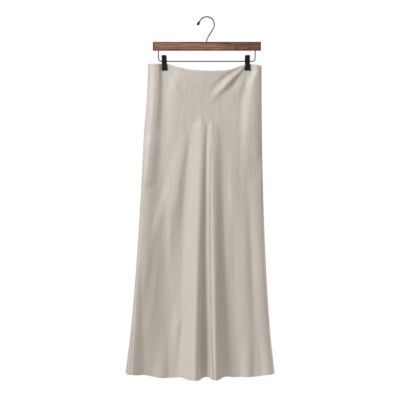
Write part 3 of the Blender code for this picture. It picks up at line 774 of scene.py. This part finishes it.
def build_stitches(name, points, side, row, wall):
    """A row of stitches on the outer face of a grid of points, at a place between two of its rows."""
    low = int(row)
    share = row - low
    normals = outward(points, side)
    line = (1.0 - share) * points[low] + share * points[low + 1]
    facing = (1.0 - share) * normals[low] + share * normals[low + 1]
    travelled = lengths_along(line)
    count = int((travelled[-1] - 2.0 * STITCH_MARGIN) / STITCH_PITCH)
    starts = STITCH_MARGIN + STITCH_PITCH * np.arange(count)
    stops = starts[:, None] + STITCH_PITCH * STITCH_SHARE * STITCH_PLACES[None]
    centre = on_line(stops, travelled, line)
    up = unit(on_line(stops, travelled, facing))
    beside = np.cross(unit(np.gradient(centre, axis=1)), up)
    arch = STITCH_RADIUS * (STITCH_ARCH * np.sin(math.pi * STITCH_PLACES) - STITCH_SUNK)
    centre = centre + up * (wall / 2.0 + arch)[None, :, None]
    radius = STITCH_RADIUS * STITCH_SHAPE[None, :, None, None]
    angles = circle(STITCH_SIDES)[None, None, :, None]
    spokes = np.cos(angles) * up[:, :, None] + np.sin(angles) * beside[:, :, None]
    rings = centre[:, :, None] + radius * spokes
    here = np.arange(rings[..., 0].size).reshape(rings.shape[:3])
    after = np.roll(here, -1, axis=2)
    walls = np.stack([here[:, :-1], here[:, 1:], after[:, 1:], after[:, :-1]], axis=-1)
    caps = [*here[:, 0].tolist(), *here[:, -1, ::-1].tolist()]
    data = new_mesh(name, rings, [*walls.reshape(-1, 4).tolist(), *caps])
    shape = bmesh.new()
    shape.from_mesh(data)
    bmesh.ops.recalc_face_normals(shape, faces=shape.faces)
    shape.to_mesh(data)
    shape.free()
    data.shade_smooth()
    settle(add_object(name, data, THREAD), "satin")


# The cut of what shows of each half: its hem's width, length and area, and its band's two sides.
Cut = namedtuple("Cut", "hem length area waist band")
SHOWN_CUTS = {
    "front": Cut(0.668, 0.925, 0.421, 0.358, 0.0100),
    "back": Cut(0.662, 0.925, 0.419, 0.374, 0.0100),
}
HEM_ROW = np.interp(1.0 - HEM_STITCHES / SIDE_LENGTH, panel_shares(), np.arange(PANEL_ROWS))
BAND_ROW = (BAND_ROWS - 1) * (1.0 - BAND_STITCHES / BAND_HEIGHT)

panels = {side: build_panel(side) for side in SHOWN_CUTS}
bands = {side: build_band(side) for side in SHOWN_CUTS}
for side, cut in SHOWN_CUTS.items():
    panel, panel_grid = panels[side]
    band, band_grid = bands[side]
    build_stitches(f"{side}_hem_stitches", panel_grid, side, HEM_ROW, HEM_WALL)
    build_stitches(f"{side}_waist_stitches", band_grid, side, BAND_ROW, BAND_WALL)

# --- The hanger ---

# Places are those of the hanger's solids. The wires are a little thicker, and the tip is larger.
BAR_TOP = -0.0739
BAR_BOTTOM = -0.0995
HOOK_WIRE = 0.00185
HOOK_RADIUS = 0.0230
HOOK_TIP_END = math.radians(150)
HOOK_STEM_END = math.radians(-31)
HOOK_NECK_RADIUS = 0.0140
HOOK_TIP_STRAIGHT = 0.0030
TIP_RADIUS = 0.0042
TIP_LENGTH = 0.0128
CLIP_WIRE = 0.00155
WIRE_LEFT = -0.1446
WIRE_RIGHT = 0.1454
WIRE_LEVEL = -0.1318
WIRE_BEND = 0.0092
WIRE_INSERT = 0.0110
WIRE_END = 0.25  # the share of its last step over which a wire's cut end is eased
WIRE_END_RADIUS = 0.8  # of the wire's own
ASKEW = (0.31, 0.87, 0.38)  # a direction that no wire runs in
PAD_GAP = LAYER_PINCHED + BAND_WALL / 2 + SEAM_GAP
EAR_RADIUS = 0.0036
EAR_WALL = 0.0011
EAR_BORE = 0.0020
EAR_BEVEL = 0.0003
EAR_AROUND = 40
EAR_PLACES = {"front": 0.0066, "back": 0.0050}

# The cap on the hook's tip, from its lip to the start of its round end.
CapRow = namedtuple("CapRow", "along radius")
CAP_ROWS = (
    CapRow(.0003, .0023),
    CapRow(.0005, .0027),
    CapRow(.0012, .0028),
    CapRow(.002, .0026),
    CapRow(.0034, .0032),
    CapRow(.0052, .0039),
    CapRow(.0072, .0043),
)

# A jaw from its finger end down to its pad: height from the wire, inner gap, wall and half width.
Jaw = namedtuple("Jaw", "height gap wall half")
JAW_ROWS = (
    Jaw(.0172, .0099, .0023, .0075),
    Jaw(.014, .009, .0025, .0076),
    Jaw(.008, .0072, .0026, .0076),
    Jaw(0, .005, .0027, .0077),
    Jaw(-.0068, PAD_GAP, .003, .0078),
    Jaw(-.015, PAD_GAP, .0026, .008),
    Jaw(-.023, PAD_GAP, .0025, .0087),
    Jaw(-.0276, PAD_GAP, .0024, .0088),
)
JAW_AT_WIRE = JAW_ROWS[3]  # where it has its ears
JAW_LEVELS = 150
JAW_CROWDING = 0.25  # how much the levels crowd towards the jaw's ends
JAW_AROUND = 96
JAW_CORNER = 5.0  # how square a jaw's section is: 2 for an ellipse
JAW_END = 0.0016  # the length over which its ends round off
JAW_END_WALL = 0.35  # the share of its wall that is left at its ends
JAW_END_TAPER = 0.10  # the share of its width that is lost there
JAW_NOTCH = 0.0014
NOTCH_WIDTH = 0.28  # in half widths
NOTCH_LOW = 0.0050
NOTCH_HIGH = 0.0040
LOBES = 5
LOBE_DEPTH = 0.00035

# The relief on a jaw's outer face, with heights from the wire and widths in half widths.
RELIEF_EDGE = 0.0010
GRIP = (0.0050, 0.0162)
GRIP_PITCH = 0.0025
GRIP_HEIGHT = 0.0006
BOSS_LEVEL = -0.0004
Mound = namedtuple("Mound", "wide tall rise edge")
MOUNDS = (Mound(0.62, 0.0040, 0.0008, 0.35), Mound(0.30, 0.0020, -0.0007, 0.5))
PAD = (-0.0262, -0.0062)
RAILS = (0.50, 0.92)
RAIL_HEIGHT = 0.0005
SPINE_WIDTH = 0.16
CrossBar = namedtuple("CrossBar", "height half")
CROSS_BARS = (CrossBar(-0.0238, 0.0013), CrossBar(-0.0160, 0.0011), CrossBar(-0.0085, 0.0011))

COIL_WIRE = 0.00042
COIL_RADIUS = 0.0026
COIL_TURNS = 7
COIL_HALF = 0.0040
LEG_ROOT = 0.0012
LEG_OUT = 0.0050
LEG_UP = 0.0052
LEG_SHARES = np.array([0.4, 0.7, 1.0])


def arc(centre, radius, start, end, steps):
    """Points (x, z) on an arc from one angle to another."""
    angles = np.linspace(start, end, steps + 1)
    return [(centre[0] + radius * math.cos(a), centre[1] + radius * math.sin(a)) for a in angles]


def lofted(name, rings, *finishes):
    """A closed solid through a stack of rings, with a flat face at each end."""
    rings = np.asarray(rings)
    count, around = rings.shape[:2]
    here = np.arange(count * around).reshape(count, around)
    after = np.roll(here, -1, axis=1)
    sides = np.stack([here[:-1], after[:-1], after[1:], here[1:]], axis=-1).reshape(-1, 4)
    data = new_mesh(name, rings, [*sides.tolist(), here[0][::-1].tolist(), here[-1].tolist()])
    soft_shade(data, 50.0)
    return add_object(name, data, *finishes)


def swept(route, radii, around):
    """Rings of points along a route, turned as little as they can be."""
    route = np.asarray(route, dtype=float)
    ahead = unit(np.gradient(route, axis=0))
    side = np.cross(ahead[0], ASKEW)
    angles = circle(around)
    rings = []
    for place, heading, radius in zip(route, ahead, radii):
        side = unit(side - heading * side.dot(heading))
        other = np.cross(heading, side)
        spokes = np.cos(angles)[:, None] * side + np.sin(angles)[:, None] * other
        rings.append(place + radius * spokes)
    return np.array(rings)


def wire_piece(name, route, radius, finish, around=20):
    """A round wire along a route, with its cut ends eased."""
    route = np.asarray(route, dtype=float)
    start = route[0] + (route[1] - route[0]) * WIRE_END
    end = route[-1] + (route[-2] - route[-1]) * WIRE_END
    route = np.concatenate([route[:1], [start], route[1:-1], [end], route[-1:]])
    radii = np.full(len(route), radius)
    radii[[0, -1]] = WIRE_END_RADIUS * radius
    return lofted(name, swept(route, radii, around), finish)


def flat_route(points):
    """Points (x, z) as points in the plane y = 0."""
    return [(x, 0.0, z) for x, z in points]


def build_hook():
    centre = (0.0, HOOK_WIRE - HOOK_RADIUS)
    curl = arc(centre, HOOK_RADIUS, HOOK_TIP_END, HOOK_STEM_END, steps=70)
    lean = -HOOK_STEM_END
    end_x, end_z = curl[-1]
    knee = end_z - end_x / math.tan(lean)
    neck_centre = (HOOK_NECK_RADIUS, knee - HOOK_NECK_RADIUS * math.tan(lean / 2))
    neck = arc(neck_centre, HOOK_NECK_RADIUS, math.pi - lean, math.pi, steps=14)
    heading = np.array((-math.sin(HOOK_TIP_END), 0.0, math.cos(HOOK_TIP_END)))
    tip_root = np.array((curl[0][0], 0.0, curl[0][1])) + HOOK_TIP_STRAIGHT * heading
    route = [tuple(tip_root), *flat_route([*curl, *neck]), (0.0, 0.0, BAR_TOP - WIRE_INSERT)]
    settle(wire_piece("steel_hook", route, HOOK_WIRE, STEEL), "dark_steel", "hook")

    round_centre = (TIP_LENGTH - TIP_RADIUS, 0.0)
    round_end = arc(round_centre, TIP_RADIUS, math.radians(75), math.radians(6), steps=9)
    outline = [*CAP_ROWS, *round_end]
    route = [tip_root + along * heading for along, _ in outline]
    rings = swept(route, [radius for _, radius in outline], around=28)
    settle(lofted("hook_cap", rings, TIP_BLACK), "tip_rubber", "hook_tip")


def build_clip_wire():
    top = BAR_BOTTOM + WIRE_INSERT
    left_bend = (WIRE_LEFT + WIRE_BEND, WIRE_LEVEL + WIRE_BEND)
    right_bend = (WIRE_RIGHT - WIRE_BEND, WIRE_LEVEL + WIRE_BEND)
    route = [(WIRE_LEFT, top), (WIRE_LEFT, BAR_BOTTOM)]
    route += arc(left_bend, WIRE_BEND, math.pi, 1.5 * math.pi, steps=16)
    route += arc(right_bend, WIRE_BEND, -math.pi / 2, 0.0, steps=16)
    route += [(WIRE_RIGHT, BAR_BOTTOM), (WIRE_RIGHT, top)]
    wire = wire_piece("steel_clip_wire", flat_route(route), CLIP_WIRE, DARK_STEEL)
    settle(wire, "dark_steel", "clip_wire")


def within(value, limits, edge):
    """1 between two limits, easing to 0 at both."""
    return eased((value - limits[0]) / edge) * eased((limits[1] - value) / edge)


def jaw_relief(across, height):
    """The raised ribs, boss and rails on a jaw's outer face."""
    aside = np.abs(across)
    inside = eased((1.0 - aside) / 0.22)
    ribs = 0.5 + 0.5 * np.cos(2.0 * math.pi * height / GRIP_PITCH)
    relief = GRIP_HEIGHT * ribs * within(height, GRIP, RELIEF_EDGE) * inside
    for mound in MOUNDS:
        off_centre = np.hypot(across / mound.wide, (height - BOSS_LEVEL) / mound.tall)
        relief = relief + mound.rise * eased((1.0 - off_centre) / mound.edge)
    rails = eased((aside - RAILS[0]) / 0.10) * eased((RAILS[1] - aside) / 0.08)
    spine = eased((SPINE_WIDTH - aside) / 0.08)
    bars = sum(eased(1.0 - np.abs(height - bar.height) / bar.half) for bar in CROSS_BARS)
    raised = np.maximum(np.maximum(rails, spine), bars * inside)
    return relief + RAIL_HEIGHT * within(height, PAD, RELIEF_EDGE) * raised


def squared(wave):
    """A sine or cosine drawn out towards the corners of a rounded rectangle."""
    return np.sign(wave) * np.abs(wave) ** (2.0 / JAW_CORNER)


def jaw_rings(toward):
    """A jaw's sections from its pad up to its finger end."""
    top, bottom = JAW_ROWS[0].height, JAW_ROWS[-1].height
    share = np.linspace(0.0, 1.0, JAW_LEVELS)
    crowded = 0.5 - 0.5 * np.cos(math.pi * share)
    heights = bottom + (top - bottom) * (share + JAW_CROWDING * (crowded - share))
    angles = circle(JAW_AROUND)
    across, outer = squared(np.cos(angles)), squared(np.sin(angles))
    notch = JAW_NOTCH * np.exp(-((across / NOTCH_WIDTH) ** 2))
    rows = JAW_ROWS[::-1]
    tall = column(rows, "height")
    gaps, walls, halves = (
        np.interp(heights, tall, column(rows, name)) for name in ("gap", "wall", "half")
    )
    rings = []
    for height, gap, wall, half in zip(heights, gaps, walls, halves):
        from_end = np.clip(min(height - bottom, top - height) / JAW_END, 0.0, 1.0)
        rounding = math.sqrt(1.0 - (1.0 - from_end) ** 2)
        closing = JAW_END_WALL + (1.0 - JAW_END_WALL) * rounding
        lobe = math.cos(2.0 * math.pi * LOBES * (height - bottom) / (top - bottom))
        half_width = half - LOBE_DEPTH * (0.5 + 0.5 * lobe)
        x = across * half_width * (1.0 - JAW_END_TAPER * (1.0 - closing))
        out = gap + wall / 2.0 + outer * wall / 2.0 * closing
        out += np.where(outer > 0.0, jaw_relief(across, height) * closing * eased(outer), 0.0)
        near_bottom = eased(1.0 - (height - bottom) / NOTCH_LOW)
        near_top = eased(1.0 - (top - height) / NOTCH_HIGH)
        z = height + notch * near_bottom - 0.5 * notch * near_top
        rings.append(np.stack([x, toward * out, z], axis=1))
    rings = np.array(rings)
    return rings if toward > 0 else rings[:, ::-1]


def ear_rings(toward, middle, reach):
    """An ear: a ring round the wire that runs on to the jaw's plate."""
    angles = circle(EAR_AROUND)
    ahead, up = np.cos(angles), np.sin(angles)
    to_side = EAR_RADIUS / np.maximum(np.abs(up), 1e-6)
    to_plate = reach / np.maximum(ahead, 1e-6)
    outer = np.where(ahead > 0.0, np.minimum(to_side, to_plate), EAR_RADIUS)
    bevelled = outer - EAR_BEVEL
    half = [(0.5, EAR_BORE), (0.5, bevelled), (0.3, outer)]
    loops = []
    for place, size in [(-place, size) for place, size in half] + half[::-1]:
        x = np.full_like(angles, middle + place * EAR_WALL)
        loops.append(np.stack([x, toward * ahead * size, up * size], axis=1))
    return np.array(loops)


def build_jaw(clip, face, holder):
    toward = -1.0 if face == "front" else 1.0
    name = f"{clip.side}_clip_{face}"
    jaw = lofted(name, jaw_rings(toward), CLIP_BLACK)
    shape = bmesh.new()
    shape.from_mesh(jaw.data)
    for middle in (-EAR_PLACES[face], EAR_PLACES[face]):
        loops = ear_rings(toward, middle, JAW_AT_WIRE.gap + JAW_AT_WIRE.wall / 2)
        verts = [[shape.verts.new(point) for point in loop] for loop in loops]
        for first, second in zip(verts, verts[1:] + verts[:1]):
            for k in range(len(first)):
                j = (k + 1) % len(first)
                shape.faces.new((first[k], first[j], second[j], second[k]))
    bmesh.ops.recalc_face_normals(shape, faces=shape.faces)
    bmesh.ops.transform(shape, matrix=holder, verts=shape.verts)
    shape.to_mesh(jaw.data)
    shape.free()
    soft_shade(jaw.data, 50.0)
    settle(jaw, "clip_black", f"clip_{clip.side}_{face}_jaw")


def spring_leg(toward):
    """The straight end of a coil, which runs up beside a jaw's finger end."""
    out = LEG_ROOT + LEG_OUT * LEG_SHARES
    up = COIL_RADIUS + LEG_UP * LEG_SHARES
    return np.stack([np.full_like(out, toward * COIL_HALF), toward * out, up], axis=1)


def build_spring(clip, holder):
    """A coil on the wire, whose two ends press the jaws' finger ends apart."""
    turns = np.linspace(0.0, 1.0, COIL_TURNS * 24 + 1)
    angles = math.pi / 2 - 2.0 * math.pi * COIL_TURNS * turns
    along = COIL_HALF * (2.0 * turns - 1.0)
    coil = np.stack([along, COIL_RADIUS * np.cos(angles), COIL_RADIUS * np.sin(angles)], axis=1)
    route = np.concatenate([spring_leg(-1.0)[::-1], coil, spring_leg(1.0)])
    route = (np.array(holder)[:3, :3] @ route.T).T + np.array(holder.translation)
    spring = wire_piece(f"{clip.side}_clip_coil", route, COIL_WIRE, SPRING_STEEL, around=8)
    settle(spring, "spring_steel", f"clip_{clip.side}_spring")


WALNUT_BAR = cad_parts["hanger_bar"]
WALNUT_BAR.data.materials.clear()
WALNUT_BAR.data.materials.append(WALNUT)
soft_shade(WALNUT_BAR.data, 35.0)
build_hook()
build_clip_wire()
for clip in CLIPS:
    holder = Matrix.Translation((clip.x, 0.0, WIRE_LEVEL)) @ Matrix.Rotation(clip.tilt, 4, "Y")
    for face in ("front", "back"):
        build_jaw(clip, face, holder)
    build_spring(clip, holder)

# --- Camera, light and floor ---

VIEW_CENTRE = Vector((-0.0051, 0.0, -0.5628))
EYE_DISTANCE = 2.8
SENSOR = 36.0
FRAME_WIDTH = 1.23
Ambient = namedtuple("Ambient", "strength color")
ALL_ROUND = Ambient(0.38, (1.0, 0.965, 0.925, 1.0))
BACKGROUND = Ambient(1.0, (1.0, 1.0, 1.0, 1.0))
FLOOR_RADIUS = 0.62
FLOOR_PLACE = (0.0, -0.10, -1.30)

Lamp = namedtuple("Lamp", "name place aim size power color")
LAMPS = (
    Lamp("back_fill", (2.30, 1.45, 0.90), (0.0, 0.0, -0.45), (1.2, 1.4), 56.0, (0.97, 0.985, 1.0)),
    Lamp("key", (-1.95, -1.70, 1.15), (0.0, 0.0, 0.15), (1.0, 1.2), 64.0, (0.955, 0.98, 1.0)),
)


def build_camera():
    data = bpy.data.cameras.new("camera")
    data.sensor_width = SENSOR
    data.lens = SENSOR * EYE_DISTANCE / FRAME_WIDTH
    camera = bpy.data.objects.new("camera", data)
    camera.location = VIEW_CENTRE - Vector((0.0, EYE_DISTANCE, 0.0))
    camera.rotation_euler = (math.radians(90), 0.0, 0.0)
    bpy.context.scene.collection.objects.link(camera)
    bpy.context.scene.camera = camera


def build_lamp(lamp):
    data = bpy.data.lights.new(lamp.name, "AREA")
    data.shape = "RECTANGLE"
    data.size, data.size_y = lamp.size
    data.energy = lamp.power
    data.color = lamp.color
    light = bpy.data.objects.new(lamp.name, data)
    light.location = lamp.place
    toward = Vector(lamp.aim) - light.location
    light.rotation_euler = toward.to_track_quat("-Z", "Y").to_euler()
    bpy.context.scene.collection.objects.link(light)


def build_world():
    """White to the camera, and a softer even light to everything else."""
    world = bpy.data.worlds.new("studio")
    world.use_nodes = True
    tree = world.node_tree
    tree.nodes.clear()
    output = tree.nodes.new("ShaderNodeOutputWorld")
    mix = tree.nodes.new("ShaderNodeMixShader")
    path = tree.nodes.new("ShaderNodeLightPath")
    tree.links.new(path.outputs["Is Camera Ray"], mix.inputs[0])
    for socket, ambient in zip(mix.inputs[1:], (ALL_ROUND, BACKGROUND)):
        light = tree.nodes.new("ShaderNodeBackground")
        light.inputs["Strength"].default_value = ambient.strength
        light.inputs["Color"].default_value = ambient.color
        tree.links.new(light.outputs[0], socket)
    tree.links.new(mix.outputs[0], output.inputs[0])
    bpy.context.scene.world = world


def build_floor():
    shape = bmesh.new()
    bmesh.ops.create_circle(shape, cap_ends=True, segments=96, radius=FLOOR_RADIUS)
    data = bpy.data.meshes.new("floor")
    shape.to_mesh(data)
    shape.free()
    made = Nodes("pale_floor")
    mottle = made.noise("object", (3.0,) * 3, detail=3.0)
    made.set(Roughness=0.8)
    color = made.mix(mottle, (0.88,) * 3, (0.92,) * 3)
    floor = add_object("floor", data, made.finish(Base_Color=color))
    floor.location = FLOOR_PLACE


build_camera()
build_world()
build_floor()
for lamp in LAMPS:
    build_lamp(lamp)
bpy.context.scene.view_settings.view_transform = "Standard"
